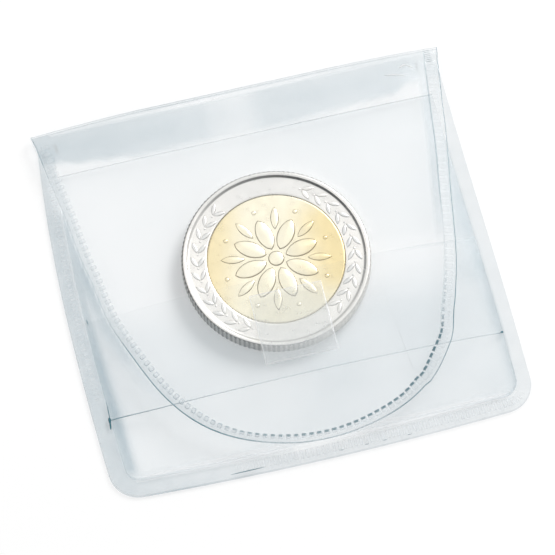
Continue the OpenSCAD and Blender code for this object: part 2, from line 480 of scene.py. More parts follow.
flapShape = {
    "tipRadius": 27.3,
    "tipAngle": 18.8,
    "cornerRadius": 20.9,
    "cornerAngle": 56.0,
    "sideRadius": 215.0,
    "sideAngle": 9.9,
    "arcSteps": 60,
    "rootShift": 0.3,
    "tipShift": 0.7,
    "wander": (  # how far the soft edge lies inside this outline, by length along it
        (0, -0.1), (10, 0.0), (20, -0.47), (27.5, -0.9), (38, -0.13), (48, -0.36), (56, -0.2), (68, -0.26),
        (79.3, -0.56), (79.8, -0.74), (86, -0.42), (91, 0.26), (98, 0.03), (109, 0.3), (120, 0.1),
        (130, -0.2),
    ),
}


def outerX(y, side):
    shape = pouchShape
    if side < 0:
        bow = shape["leftUpperBow"] if y > 0 else shape["leftLowerBow"]
        return -(shape["leftHalf"] - bow * (y / rootY) ** 2)
    flare = 1 - smoothStep(*shape["rightSpreadSpan"], y)
    return shape["rightTopHalf"] + shape["rightSpread"] * flare


def bottomLine(x):
    shape = pouchShape
    return hemLow.y - shape["bottomSag"] + shape["bottomBow"] * (x / shape["bottomBowHalf"]) ** 2


def pouchPath():  # from the left end of the fold down, along the bottom and up to the right end
    radius = pouchShape["cornerRadius"]
    count, cornerCount = pouchShape["lineSteps"], pouchShape["cornerSteps"]
    cornerY = bottomLine(backHigh.x - radius) + radius
    down = [rootY + (cornerY - rootY) * k / count for k in range(count)]
    left = [(outerX(y, -1), y) for y in down]
    right = [(outerX(y, 1), y) for y in reversed(down)]
    leftX, rightX = outerX(cornerY, -1) + radius, outerX(cornerY, 1) - radius
    leftDrop, rightDrop = cornerY - bottomLine(leftX), cornerY - bottomLine(rightX)
    turn = [math.radians(90 * k / cornerCount) for k in range(cornerCount + 1)]
    leftCorner = [(leftX - radius * math.cos(a), cornerY - leftDrop * math.sin(a)) for a in turn]
    rightCorner = [(rightX + radius * math.sin(a), cornerY - rightDrop * math.cos(a)) for a in turn]
    across = [leftX + (rightX - leftX) * k / count for k in range(1, count)]
    bottom = [(x, bottomLine(x)) for x in across]
    return left + leftCorner + bottom + rightCorner + right


def arc(start, heading, radius, turn):
    count = flapShape["arcSteps"]
    points = []
    for k in range(count + 1):
        a = heading + turn * k / count
        x = start[0] + radius * (math.sin(a) - math.sin(heading))
        y = start[1] + radius * (math.cos(heading) - math.cos(a))
        points.append((x, y))
    return points


def flapPath():  # from the left end of the fold round the tip to the right end
    half, heading = [(0.0, 0.0)], 0.0
    for part in ("tip", "corner", "side"):
        turn = math.radians(flapShape[part + "Angle"])
        half += arc(half[-1], heading, flapShape[part + "Radius"], turn)[1:]
        heading += turn
    wide, tall = flapHigh.x / half[-1][0], (foldHigh.y - flapLow.y) / half[-1][1]
    half = [(x * wide, y * tall + flapLow.y) for x, y in half]
    last = max(k for k, p in enumerate(half) if p[1] < rootY)
    low, high = half[last], half[last + 1]
    share = (rootY - low[1]) / (high[1] - low[1])
    half = half[:last + 1] + [(low[0] + (high[0] - low[0]) * share, rootY)]
    whole = [(-x, y) for x, y in reversed(half)] + half[1:]
    return wandered([(x + flapLean(y), y) for x, y in whole], flapShape["wander"])


def valueAt(pairs, s):  # smooth between pairs of place and value
    if s <= pairs[0][0]:
        return pairs[0][1]
    for (start, low), (end, high) in zip(pairs, pairs[1:]):
        if s <= end:
            return low + (high - low) * smoothStep(start, end, s)
    return pairs[-1][1]


def wandered(path, pairs):
    lengths = pathLengths(path)
    moved = []
    for k, (x, y) in enumerate(path):
        a, b = path[max(0, k - 1)], path[min(len(path) - 1, k + 1)]
        size = math.dist(a, b)
        inward = valueAt(pairs, lengths[k])
        moved.append((x - (b[1] - a[1]) / size * inward, y + (b[0] - a[0]) / size * inward))
    moved[0] = (moved[0][0], rootY)
    moved[-1] = (moved[-1][0], rootY)
    return moved


def flapLean(y):
    down = (rootY - y) / (rootY - flapLow.y)
    return flapShape["rootShift"] * (1 - down) + flapShape["tipShift"] * down


def pathLengths(path):
    lengths = [0.0]
    for a, b in zip(path, path[1:]):
        lengths.append(lengths[-1] + math.dist(a, b))
    return lengths


def alongPath(path, lengths, s):  # point, direction and inward normal at a distance along the path
    s = min(max(s, 0.0), lengths[-1])
    low, high = 0, len(lengths) - 1
    while high - low > 1:
        middle = (low + high) // 2
        if lengths[middle] <= s:
            low = middle
        else:
            high = middle
    a, b = path[low], path[high]
    share = (s - lengths[low]) / (lengths[high] - lengths[low])
    size = math.dist(a, b)
    tangent = ((b[0] - a[0]) / size, (b[1] - a[1]) / size)
    point = (a[0] + (b[0] - a[0]) * share, a[1] + (b[1] - a[1]) * share)
    return point, tangent, (-tangent[1], tangent[0])


pouchLine = pouchPath()
pouchLengths = pathLengths(pouchLine)
flapLine = flapPath()
flapLengths = pathLengths(flapLine)


# Building sheets

def finishMesh(build, name):
    closest = 0.002 * mm
    bmesh.ops.remove_doubles(build, verts=build.verts, dist=closest)
    bmesh.ops.dissolve_degenerate(build, dist=closest, edges=build.edges)
    bmesh.ops.recalc_face_normals(build, faces=build.faces)
    mesh = bpy.data.meshes.new(name)
    build.to_mesh(mesh)
    build.free()
    return mesh


def tonedMesh():  # a mesh whose points carry two tones: painted shade, and the film's milkiness with painted highlights; on the coin, painted shade with dark joints, and a painted dimmer tone
    build = bmesh.new()
    build.verts.layers.float.new("shade")
    build.verts.layers.float.new("milkAndPaintedLight")
    return build


def tonedVert(build, point, shade, milkAndPaintedLight):  # point in millimetres
    vert = build.verts.new([v * mm for v in point])
    vert[build.verts.layers.float["shade"]] = shade
    vert[build.verts.layers.float["milkAndPaintedLight"]] = milkAndPaintedLight
    return vert


def bridge(build, a, b, closed=True):  # the faces between two rows of points
    faces = []
    for k in range(len(a) if closed else len(a) - 1):
        n = (k + 1) % len(a)
        faces.append(build.faces.new((a[k], a[n], b[n], b[k])))
    return faces


def addSheet(build, outer, inner, walls, slotOf, toneOf):
    # outer and inner are rows of points; walls gives the slot of the wall along the first and last row and
    # the left and right column, where there is one
    def grid(points):
        lines = []
        for r, row in enumerate(points):
            lines.append([tonedVert(build, p, *toneOf(r, c, *p[:2])) for c, p in enumerate(row)])
        return lines

    top, under = grid(outer), grid(inner)
    rows, columns = len(top), len(top[0])
    for r in range(rows - 1):
        for c in range(columns - 1):
            for side in (top, under):
                face = build.faces.new((side[r][c], side[r][c + 1], side[r + 1][c + 1], side[r + 1][c]))
                face.smooth = True
                face.material_index = slotOf(r, c)
    rings = {
        "first": [(top[0][c], under[0][c]) for c in range(columns)],
        "last": [(top[-1][c], under[-1][c]) for c in range(columns)],
        "left": [(top[r][0], under[r][0]) for r in range(rows)],
        "right": [(top[r][-1], under[r][-1]) for r in range(rows)],
    }
    for name, slot in walls.items():
        ring = rings[name]
        for k, ((a, b), (d, e)) in enumerate(zip(ring, ring[1:])):
            face = build.faces.new((a, d, e, b))
            face.material_index = slot(k) if callable(slot) else slot
            for edge in face.edges:
                edge.smooth = False


def lowered(points, depth):
    return [[(x, y, z - depth) for x, y, z in row] for row in points]


def fade(least, share):  # from a least value to 1
    return least + (1 - least) * share


def swirl(x, y, look):  # slow unevenness of a tone, around 1
    amount, acrossScale, upScale, seed = look["swirl"]
    return 1 + amount * noise.noise(Vector((x * acrossScale, y * upScale, seed)))


def bell(offset):  # 1 at 0, falling off on both sides
    return math.exp(-offset ** 2)


# The clear sheet: flap, fold and back in one piece of film

sheetShape = {
    "columns": 250,
    "flapRows": 50,
    "flapCrowding": 1.15,
    "loopRows": 40,
    "backRows": 24,
    "backCrowding": 1.6,
    "rimFade": 1.5,
    "rimAngle": 75,
    "creaseAngles": (34, 100),
    "foldDepth": ((-28, 2.0), (12, 2.0), (28, 2.2)),
    "foldEnds": (-28.5, 29.2),
    "bendLow": 0.26,
    "bendHigh": 1.1,
}

# tones are by length in mm along the flap's edge, from the left end of the fold: the line is the film's tint
# edge-on with painted shade, and base, step and within are painted shade on the rim band, at its inner step
# and inside it; the rows give their distance from the rim's outer or inner side, their share of the land's
# height and their tone
rimLook = {
    "width": ((0, 1.4), (12, 1.2), (50, 1.2), (66, 1.28), (76, 1.5), (80, 1.78), (84, 2.02), (92, 1.74),
              (104, 1.6), (112, 1.65), (122, 1.85), (130, 1.95)),
    "base": ((0, 0.25), (30, 0.3), (45, 0.25), (56, 0.22), (62, 0.02), (74, 0.08), (80, 0.12), (86, 0.05),
             (104, 0.1), (130, 0.08)),
    "line": ((0, 0.3), (8, 0.1), (26, 0.15), (36, 0.8), (50, 0.9), (58, 0.45), (70, 0.35), (76, 0.7),
             (84, 0.6), (92, 0.9), (99, 0.6), (108, 0.6), (130, 0.65)),
    "step": ((0, 0.05), (50, 0), (84, 0), (92, 0.35), (104, 0.3), (110, 0.8), (124, 0.75), (130, 0.6)),
    "within": ((0, 0), (100, 0), (106, 0.24), (110, 0.34), (122, 0.34), (128, 0.25), (130, 0.15)),
    "land": 0.05,
    "outerRows": ((0.0, 0, "line"), (0.08, 0, "line"), (0.12, 0, "base"), (0.40, 0, "base"),
                  (0.46, 1, "base")),
    "innerRows": ((-0.15, 1, "base"), (-0.10, 1, "step"), (0.02, 0, "step"), (0.08, 0, "within"),
                  (0.3, 0, "within"), (0.75, 0, "within"), (1.3, 0, None)),
}

# painted shade on the fold: by x over the band below it, and by angle round the roll from its top, with a painted
# dark line along the crease and a painted highlight, the gleam, below it
foldLook = {
    "level": ((-28, 0.46), (-20, 0.46), (-12, 0.43), (-6, 0.37), (-3, 0.25), (0, 0.2), (4, 0.38), (19, 0.35),
              (24, 0.36), (28, 0.18)),
    "lowEdge": ((-26, 22.2), (-22, 21.1), (-18, 20.4), (-14, 19.8), (6, 19.6), (12, 20.1), (17, 20.5),
                (21, 20.9), (24, 22.4)),
    "soft": 1.0,
    "swirl": (0.15, 0.13, 0.4, 3.0),
    "roll": ((0, 1.0), (5, 0.9), (12, 0.6), (22, 0.5), (30, 0.4), (40, 0.3), (180, 0.25)),
    "creaseShade": ((-28, 0.5), (-20, 0.45), (-8, 0.62), (0, 0.56), (4, 0.44), (28, 0.44)),
    "creaseRoll": ((27, 0.0), (37, 0.5), (46, 1.0), (76, 1.0), (95, 0.0)),
    "gleam": ((-21, 0), (-16, 0.7), (-12, 0.8), (-5, 0.95), (0, 0.8), (4, 0.85), (12, 0.8), (16, 0.7),
              (20, 0.05), (24, 0.6), (28, 0)),
    "gleamAngle": ((-16, 24.0), (-6, 18.0), (4, 19.0), (16, 24.0)),
    "gleamWidth": ((-12, 9.0), (-4, 14.0), (0, 14.0), (5, 11.0), (16, 8.0)),
}


def rimSteps(s):  # distance from the edge, height, and which tone a row of the rim has
    width = valueAt(rimLook["width"], s)
    rows = [(0.0, row) for row in rimLook["outerRows"]] + [(width, row) for row in rimLook["innerRows"]]
    return [(start + inset, share * rimLook["land"], tone) for start, (inset, share, tone) in rows]


def foldShade(x, y):
    low = valueAt(foldLook["lowEdge"], x)
    soft = foldLook["soft"] / 2
    return valueAt(foldLook["level"], x) * smoothStep(low - soft, low + soft, y) * swirl(x, y, foldLook)


def foldDepth(x):
    return valueAt(sheetShape["foldDepth"], x)


def loopPoint(x, share, inset):  # share runs from the flap's root over the crease to the back's root
    height = flapTop(x, rootY)
    radius = min(height / 2, foldDepth(x))
    straight = foldDepth(x) - radius
    run = 2 * straight + math.pi * radius
    s = share * run
    ends = sheetShape["foldEnds"]
    wide = ends[0] if x < 0 else ends[1]
    root = flapLine[0][0] if x < 0 else flapLine[-1][0]
    x = x * (1 + (wide / root - 1) * math.sin(math.pi * share))
    if s < straight:
        return (x, rootY + s, height - inset), 0.0
    if s > run - straight:
        return (x, rootY + run - s, inset), 180.0
    a = (s - straight) / radius
    y = rootY + straight + (radius - inset) * math.sin(a)
    return (x, y, height / 2 + (height / 2 - inset) * math.cos(a)), math.degrees(a)


# painted shade round the roll, a painted dark line along the crease and a painted highlight below it
def loopTone(x, angle):
    look = foldLook
    offset = (angle - valueAt(look["gleamAngle"], x)) / valueAt(look["gleamWidth"], x)
    gleam = valueAt(look["gleam"], x) * bell(offset)
    shade = valueAt(look["level"], x) * valueAt(look["roll"], angle) * (1 - gleam)
    return min(1.0, shade + valueAt(look["creaseShade"], x) * valueAt(look["creaseRoll"], angle)), gleam


def innerX(y, side):  # where the pocket meets the weld, with its lower corners rounded
    shape = pouchShape
    width = shape["leftWeld"] if side < 0 else shape["rightWeld"]
    radius = shape["cornerRadius"] - width
    bottom = hemHigh.y
    cut = 0.0
    if y < bottom + radius:
        cut = radius - math.sqrt(max(0.0, radius ** 2 - (radius - (y - bottom)) ** 2))
    return outerX(y, side) - side * (width + cut)


def makeFlapGrid():
    total = flapLengths[-1]
    columns = sheetShape["columns"]
    edges = []
    for c in range(columns + 1):
        s = total * c / columns
        edges.append((s, rimSteps(s), alongPath(flapLine, flapLengths, s)))
    rimRows = len(edges[0][1])
    points, tones = [], []
    for r in range(rimRows):
        row, toneRow = [], []
        for c, (s, rim, (point, tangent, normal)) in enumerate(edges):
            depth, lift, tone = rim[r]
            x, y = point[0] + normal[0] * depth, point[1] + normal[1] * depth
            if c in (0, columns):
                y = rootY
            lift *= smoothStep(0, sheetShape["rimFade"], min(s, total - s))
            row.append((x, y, flapTop(x, y) + lift))
            toneRow.append((max(valueAt(rimLook[tone], s) if tone else 0.0, foldShade(x, y)), 0.0))
        points.append(row)
        tones.append(toneRow)
    inner = points[-1]
    left, right = inner[0][0], inner[-1][0]
    turns = [math.pi * c / columns for c in range(columns + 1)]
    roots = [(left + right) / 2 - (right - left) / 2 * math.cos(turn) for turn in turns]
    for r in range(1, sheetShape["flapRows"] + 1):
        k = 1 - (1 - r / sheetShape["flapRows"]) ** sheetShape["flapCrowding"]
        flat = [(x + (rootX - x) * k, y + (rootY - y) * k) for (x, y, z), rootX in zip(inner, roots)]
        points.append([(x, y, flapTop(x, y)) for x, y in flat])
        tones.append([(foldShade(x, y), 0.0) for x, y in flat])
    return points, tones, rimRows


def makeFoldGrid(flap, flapTones, rimRows):  # over the fold and along the back to the bottom weld
    def rootRow(grid):  # along the flap's root, with the rows of the rim at both ends
        rim = grid[:rimRows]
        return [row[0] for row in rim] + grid[-1][1:-1] + [row[-1] for row in reversed(rim)]

    root, rootTones = rootRow(flap), rootRow(flapTones)
    xs = [p[0] for p in root]
    outer, inner, tones = [root], lowered([root], filmThickness), [rootTones]
    for r in range(1, sheetShape["loopRows"] + 1):
        share = r / sheetShape["loopRows"]
        turned = [loopPoint(x, share, 0.0) for x in xs]
        outer.append([p for p, angle in turned])
        inner.append([loopPoint(x, share, filmThickness)[0] for x in xs])
        row = []
        for c, (p, angle) in enumerate(turned):
            shade, milkAndPaintedLight = loopTone(p[0], angle)
            atRim = c < rimRows - 1 or c > len(xs) - rimRows
            if atRim and angle < sheetShape["rimAngle"]:
                shade = max(shade, rootTones[c][0])
            row.append((shade, milkAndPaintedLight))
        tones.append(row)
    for r in range(1, sheetShape["backRows"] + 1):
        share = r / sheetShape["backRows"]
        y = rootY + (hemHigh.y - rootY) * (1 - (1 - share) ** sheetShape["backCrowding"])
        low, high = innerX(y, -1), innerX(y, 1)
        spread = [(x - xs[0]) / (xs[-1] - xs[0]) for x in xs]
        outer.append([(low + (high - low) * k, y, 0.0) for k in spread])
        inner.append([(low + (high - low) * k, y, filmThickness) for k in spread])
        tones.append([(0.0, 0.0)] * len(xs))
    return outer, inner, tones


def makeClearSheet():
    flap, flapTones, rimRows = makeFlapGrid()
    outer, inner, tones = makeFoldGrid(flap, flapTones, rimRows)
    loopRows = sheetShape["loopRows"]
    lastColumn = len(outer[0]) - 2
    build = tonedMesh()
    addSheet(build, flap, lowered(flap, filmThickness), {"first": 1}, lambda r, c: 1 if r < 2 else 0,
             lambda r, c, x, y: flapTones[r][c])

    def wall(k):
        return 1 if k < loopRows else 0

    def slot(r, c):  # film, cut edge or the painted shade along the crease
        if r >= loopRows:
            return 0
        if r < loopRows / 2 and (c < 2 or c > lastColumn - 2):
            return 1
        low, high = sheetShape["creaseAngles"]
        return 2 if low < loopPoint(outer[0][c][0], (r + 0.5) / loopRows, 0.0)[1] < high else 0

    addSheet(build, outer, inner, {"left": wall, "right": wall, "last": 0}, slot,
             lambda r, c, x, y: tones[r][c])
    piece = newObject("clearSheet", finishMesh(build, "clearSheet"), film, cutEdge, creaseShade)
    bendWithFold(piece)
    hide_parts("back_panel", "fold_hinge", "flap_panel")


def bendWithFold(piece):
    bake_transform(piece, "pouch", "flap", (0, 0, sheetShape["bendLow"] * mm), (0, 0, sheetShape["bendHigh"] * mm))


makeClearSheet()
print("clear sheet made")


# Films across the pocket

def flapEdges():  # the flap's left and right edge as pairs of y and x, from the tip upwards
    tip = min(range(len(flapLine)), key=lambda k: flapLine[k][1])
    left = [(y, x) for x, y in reversed(flapLine[:tip + 1])]
    right = [(y, x) for x, y in flapLine[tip:]]
    return left, right


leftFlapEdge, rightFlapEdge = flapEdges()


def besideFlap(x, y):  # 1 outside the flap, 0 under it
    if y <= leftFlapEdge[0][0]:
        return 1.0
    inset = min(x - valueAt(leftFlapEdge, y), valueAt(rightFlapEdge, y) - x)
    return 1 - smoothStep(-0.05, 0.3, inset)


def acrossRows(ys, count, top):
    rows = []
    for y in ys:
        low, high = innerX(y, -1), innerX(y, 1)
        rows.append([(x, y, top(x, y)) for x in (low + (high - low) * c / count for c in range(count + 1))])
    return rows


def steps(start, end, count, ends=()):
    values = [start + (end - start) * k / count for k in range(count + 1)]
    return sorted(values + list(ends))


# painted shade on the pocket's film, along the welds, beside the flap and lower down, and a painted highlight
# above the bottom weld: shades are by y in mm, and reaches are how far from an edge they go
frontFilmShape = {
    "rows": 70,
    "columns": 160,
    "edgeLine": 0.04,
    "gleamRows": (0.12, 0.25, 0.5, 0.62),
    "leftShadow": ((7, 0.56), (16, 0.62)),
    "leftStart": (-24.6, -22.5),
    "leftPlace": ((-16, 0.8), (-6, 0.5)),
    "leftReach": 0.8,
    "leftReachOut": 1.28,
    "leftUnder": 0.12,
    "wedge": ((-17, 0), (-10, 0.26), (-6, 0.42), (-2, 0.58), (4, 0.72), (9, 0.65), (13, 0.38), (17, 0.2)),
    "wedgeReach": 1.7,
    "wedgeUnder": 0.1,
    "rightBand": ((-9, 0), (-5, 0.24), (0, 0.28), (12, 0.26), (18, 0.2), (20.5, 0.05)),
    "rightShadow": ((-24, 0.14), (-16, 0.24), (-12, 0.3), (-4, 0.25), (12, 0.1), (18, 0.05)),
    "rightReach": ((-18, 0.9), (-12, 1.2), (-4, 1.8)),
    "acrossSpan": (-20, 20),
    "leftField": ((-8, 0.18), (2, 0)),
    "rightField": ((-11, 0.26), (-2, 0)),
    "upperLeftField": ((-2, 0), (2, 0.04)),
    "upperRightField": ((-2, 0), (2, 0.1)),
    "overCoin": 0.4,
    "coinEdge": (-0.3, 1.6),
    "swirl": (0.35, 0.12, 0.12, 7.0),
    "gleam": 0.9,
    "gleamPlace": 0.38,
    "gleamReach": 0.26,
    "gleamLeft": (0.3, 2.0),
    "gleamRight": (0.3, 1.2),
}


def aroundCoin(x, y):  # the painted shade is less over the coin
    near, far = frontFilmShape["coinEdge"]
    away = math.hypot(x - coinCentre.x, y - coinCentre.y)
    return fade(frontFilmShape["overCoin"], smoothStep(coinRadius + near, coinRadius + far, away))


def frontTone(x, y):
    look = frontFilmShape
    toLeft, toRight = x - innerX(y, -1), innerX(y, 1) - x
    beside = besideFlap(x, y)
    place = valueAt(look["leftPlace"], y)
    reach = look["leftReachOut"] if toLeft < place else look["leftReach"]
    edge = valueAt(look["leftShadow"], y) * bell((toLeft - place) / reach)
    edge *= fade(look["leftUnder"], beside) * smoothStep(*look["leftStart"], y)
    if x < 0 and y > leftFlapEdge[0][0]:
        gap = valueAt(leftFlapEdge, y) - x
        wedge = valueAt(look["wedge"], y) * bell(gap / look["wedgeReach"])
        edge = max(edge, wedge * fade(look["wedgeUnder"], beside))
    if x > 0:
        edge += valueAt(look["rightBand"], y) * beside
    edge += valueAt(look["rightShadow"], y) * bell(toRight / valueAt(look["rightReach"], y))
    across = smoothStep(*look["acrossSpan"], x)
    field = (valueAt(look["leftField"], y) + valueAt(look["upperLeftField"], y)) * (1 - across)
    field += (valueAt(look["rightField"], y) + valueAt(look["upperRightField"], y)) * across
    low = (y - hemHigh.y - look["gleamPlace"]) / look["gleamReach"]
    ends = smoothStep(*look["gleamLeft"], toLeft) * smoothStep(*look["gleamRight"], toRight)
    gleam = look["gleam"] * bell(low) * ends
    return (edge + field * swirl(x, y, look) * aroundCoin(x, y)) * (1 - gleam), gleam


def makeFrontFilm():
    shape = frontFilmShape
    line = shape["edgeLine"]
    low = [hemHigh.y + k for k in shape["gleamRows"]]
    ys = steps(hemHigh.y, frontHigh.y, shape["rows"], [frontHigh.y - line] + low)
    outer = acrossRows(ys, shape["columns"], frontTop)
    last = len(outer) - 2
    build = tonedMesh()
    addSheet(build, outer, lowered(outer, filmThickness), {"first": 0, "last": 1, "left": 0, "right": 0},
             lambda r, c: 1 if r == last else 0, lambda r, c, x, y: frontTone(x, y))
    piece = newObject("frontFilm", finishMesh(build, "frontFilm"), pocketFilm, paleEdge)
    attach(piece, "pouch")
    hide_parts("front_panel")


# the strap: its lower edge line is the film's tint seen edge-on with painted shade, darkest on the left; its upper
# edge carries a painted highlight towards the right; painted shade lies near the left weld
strapShape = {
    "rows": 28,
    "columns": 120,
    "edgeLine": 0.03,
    "lineSoft": 0.04,
    "body": 0.02,
    "edgeShade": 0.12,
    "edgeReach": 2.0,
    "lowLine": ((-28, 0.85), (-14, 0.45), (-2, 0.24), (26, 0.26), (27.3, 0.9)),
    "highLine": ((14, 0.0), (20, 0.25), (28, 0.3)),
    "leftLift": 0.22,
    "leftLiftSpan": (20, 27),
}


def strapTone(r, last, x, y):
    shape = strapShape
    if r < 2:
        return valueAt(shape["lowLine"], x), 0.0
    shade = shape["body"] + shape["edgeShade"] * bell((x - innerX(y, -1)) / shape["edgeReach"])
    return shade, valueAt(shape["highLine"], x) if r > last else 0.0


def makeStrap():
    shape = strapShape
    lowLine, highLine = strapLow.y + shape["edgeLine"], strapHigh.y - shape["edgeLine"]
    ys = steps(strapLow.y, strapHigh.y, shape["rows"], [lowLine, lowLine + shape["lineSoft"], highLine])

    def lifted(x, y, z):
        return x, y + shape["leftLift"] * smoothStep(*shape["leftLiftSpan"], -x), z

    outer = [[lifted(*p) for p in row] for row in acrossRows(ys, shape["columns"], strapTop)]
    last = len(outer) - 3
    build = tonedMesh()
    addSheet(build, outer, lowered(outer, filmThickness), {"first": 1, "last": 0, "left": 0, "right": 0},
             lambda r, c: 1 if r < 2 else 0, lambda r, c, x, y: strapTone(r, last, x, y))
    piece = newObject("strapFilm", finishMesh(build, "strapFilm"), film, cutEdge)
    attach(piece, "pouch")
    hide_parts("retaining_strap")


# the pad is milky within, with a painted highlight round its edge and painted shade along its lower and side edges
closurePad = {
    "steps": 16,
    "thickness": 0.38,
    "edge": 0.25,
    "edgeDrop": 0.12,
    "milkAndPaintedLight": 0.46,
    "edgeHighlight": 0.5,
    "edgeShade": 0.25,
    "upperClear": 0.3,
}


def padEdge(x, y):  # 1 at the pad's edge, 0 within
    inset = min(x - padLow.x, padHigh.x - x, y - padLow.y, padHigh.y - y)
    return 1 - smoothStep(0.0, closurePad["edge"], inset)


def padTone(x, y):
    look = closurePad
    topShade = look["edgeShade"] * padEdge(x, y) if y < padHigh.y - look["upperClear"] else 0.0
    return topShade, look["milkAndPaintedLight"] + look["edgeHighlight"] * padEdge(x, y)


def makeClosurePad():
    look = closurePad
    count, edge = look["steps"], look["edge"]
    xs = steps(padLow.x, padHigh.x, count, [padLow.x + edge, padHigh.x - edge])
    ys = steps(padLow.y, padHigh.y, count, [padLow.y + edge, padHigh.y - edge])
    outer = [[(x, y, padTop(x, y) - look["edgeDrop"] * padEdge(x, y)) for x in xs] for y in ys]
    inner = [[(x, y, padTop(x, y) - look["thickness"]) for x in xs] for y in ys]
    build = tonedMesh()
    addSheet(build, outer, inner, {"first": 0, "last": 0, "left": 0, "right": 0}, lambda r, c: 0,
             lambda r, c, x, y: padTone(x, y))
    piece = newObject("closurePad", finishMesh(build, "closurePad"), padVinyl)
    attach(piece, "pouch")
    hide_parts("closure_patch")


makeFrontFilm()
makeStrap()
makeClosurePad()
print("pocket films made")


# Welds and the pads that the welding wheel leaves

# tones are by length in mm along the pouch's edge, from the left end of the fold: painted shade on the weld,
# darkest on the left and lighter under the flap, a darker outer line, and painted highlights along its edges and
# on the pads' tops
seamLook = {
    "height": 0.5,
    "lip": 0.14,
    "shoulder": 0.2,
    "flatLess": 0.9,
    "flatSteps": 6,
    "base": ((0, 0.36), (12, 0.44), (45, 0.44), (52, 0.4), (58, 0.33), (75, 0.22), (100, 0.2), (106, 0.18),
             (112, 0.2), (158, 0.17)),
    "underFlap": 0.25,
    "outerGleam": ((0, 0), (20, 0.5), (50, 0.6), (58, 0.2), (64, 0)),
    "innerShade": ((0, 0.3), (12, 0.4), (50, 0.4), (56, 0.1), (104, 0.1), (110, 0.35), (118, 0.5), (140, 0.3),
                   (158, 0.2)),
    "innerHighlight": ((0, 0), (12, 0.55), (27, 0.5), (31, 0.1), (40, 0), (158, 0)),
    "outerLine": ((0, 0.3), (50, 0.3), (58, 2.6), (104, 2.6), (112, 1.6), (158, 1.6)),
    "bottomGleam": ((52, 0), (56, 0.55), (70, 0.5), (78, 0.2), (84, 0.6), (104, 0.7), (108, 0)),
    "leastHighlight": 0.03,
    "padPitch": 0.74,
    "padLong": 0.44,
    "padHeight": 0.1,
    "padBevels": (0.1, 0.12),
    "padLow": ((50, 0.42), (60, 0.26)),
    "padHigh": ((50, 0.74), (60, 0.72)),
    "padTop": ((0, 0.05), (6, 0.24), (30, 0.22), (40, 0.0), (64.5, 0.0), (74, 0.24), (104, 0.24), (109, 0.0)),
    "padWall": ((40, 0.0), (64, 0.0), (74, 0.1), (104, 0.1), (109, 0.0)),
}
padForm = {"cornerShare": 0.35, "sink": 0.02}


def seamWidth(s):
    widths = [pouchShape[name] for name in ("leftWeld", "bottomWeld", "bottomWeld", "rightWeld")]
    return valueAt(list(zip(pouchShape["weldCorners"], widths)), s / pouchLengths[-1])


def addPad(build, place, across, long, bevels, height, surface, tones, slots):
    point, tangent, normal = place
    low, high = across
    wallShade, endShade, milkAndPaintedLight = tones
    wallSlot, topSlot = slots
    corner = padForm["cornerShare"] * min(long / 2, (high - low) / 2)
    half = long / 2

    def loop(inset, endInset, lift):  # eight points, of which 4 and 5 are at the end away from the edge
        a, b, c, d = -half + inset, half - inset, low + inset, high - endInset
        flat = [(a + corner, c), (b - corner, c), (b, c + corner), (b, d - corner),
                (b - corner, d), (a + corner, d), (a, d - corner), (a, c + corner)]
        verts = []
        for k, (u, v) in enumerate(flat):
            x = point[0] + tangent[0] * u + normal[0] * v
            y = point[1] + tangent[1] * u + normal[1] * v
            shade = endShade if k in (4, 5) else wallShade
            verts.append(tonedVert(build, (x, y, surface(x, y) + lift), shade, milkAndPaintedLight))
        return verts

    base = loop(0.0, 0.0, -padForm["sink"])
    top = loop(*bevels, height)
    build.faces.new(base[::-1]).material_index = topSlot
    build.faces.new(top).material_index = topSlot
    for face in bridge(build, base, top):
        face.material_index = wallSlot


def seamSteps(s):  # distance from the edge, height, painted shade and painted highlight of the points round the weld
    look = seamLook
    width, high = seamWidth(s), look["height"]
    base, inner = valueAt(look["base"], s), valueAt(look["innerShade"], s)
    line = valueAt(look["outerLine"], s) * base
    outerGleam, bottomGleam = valueAt(look["outerGleam"], s), valueAt(look["bottomGleam"], s)
    gleam = max(valueAt(look["innerHighlight"], s), bottomGleam)
    shoulder, flat, count = look["shoulder"], width - look["flatLess"], look["flatSteps"]
    return [
        (0.0, look["lip"], line, outerGleam),
        (0.07, high - 0.08, max(base, line), outerGleam),
        (shoulder, high, base, 0),
        *((shoulder + flat * j / count, high, base, 0) for j in range(1, count + 1)),
        (width - 0.32, high, base, gleam),
        (width - 0.12, high - 0.02, inner, gleam),
        (width, high - 0.1, inner, bottomGleam),
        (width, 0.0, base, 0),
        (0.0, 0.0, base, 0),
    ]


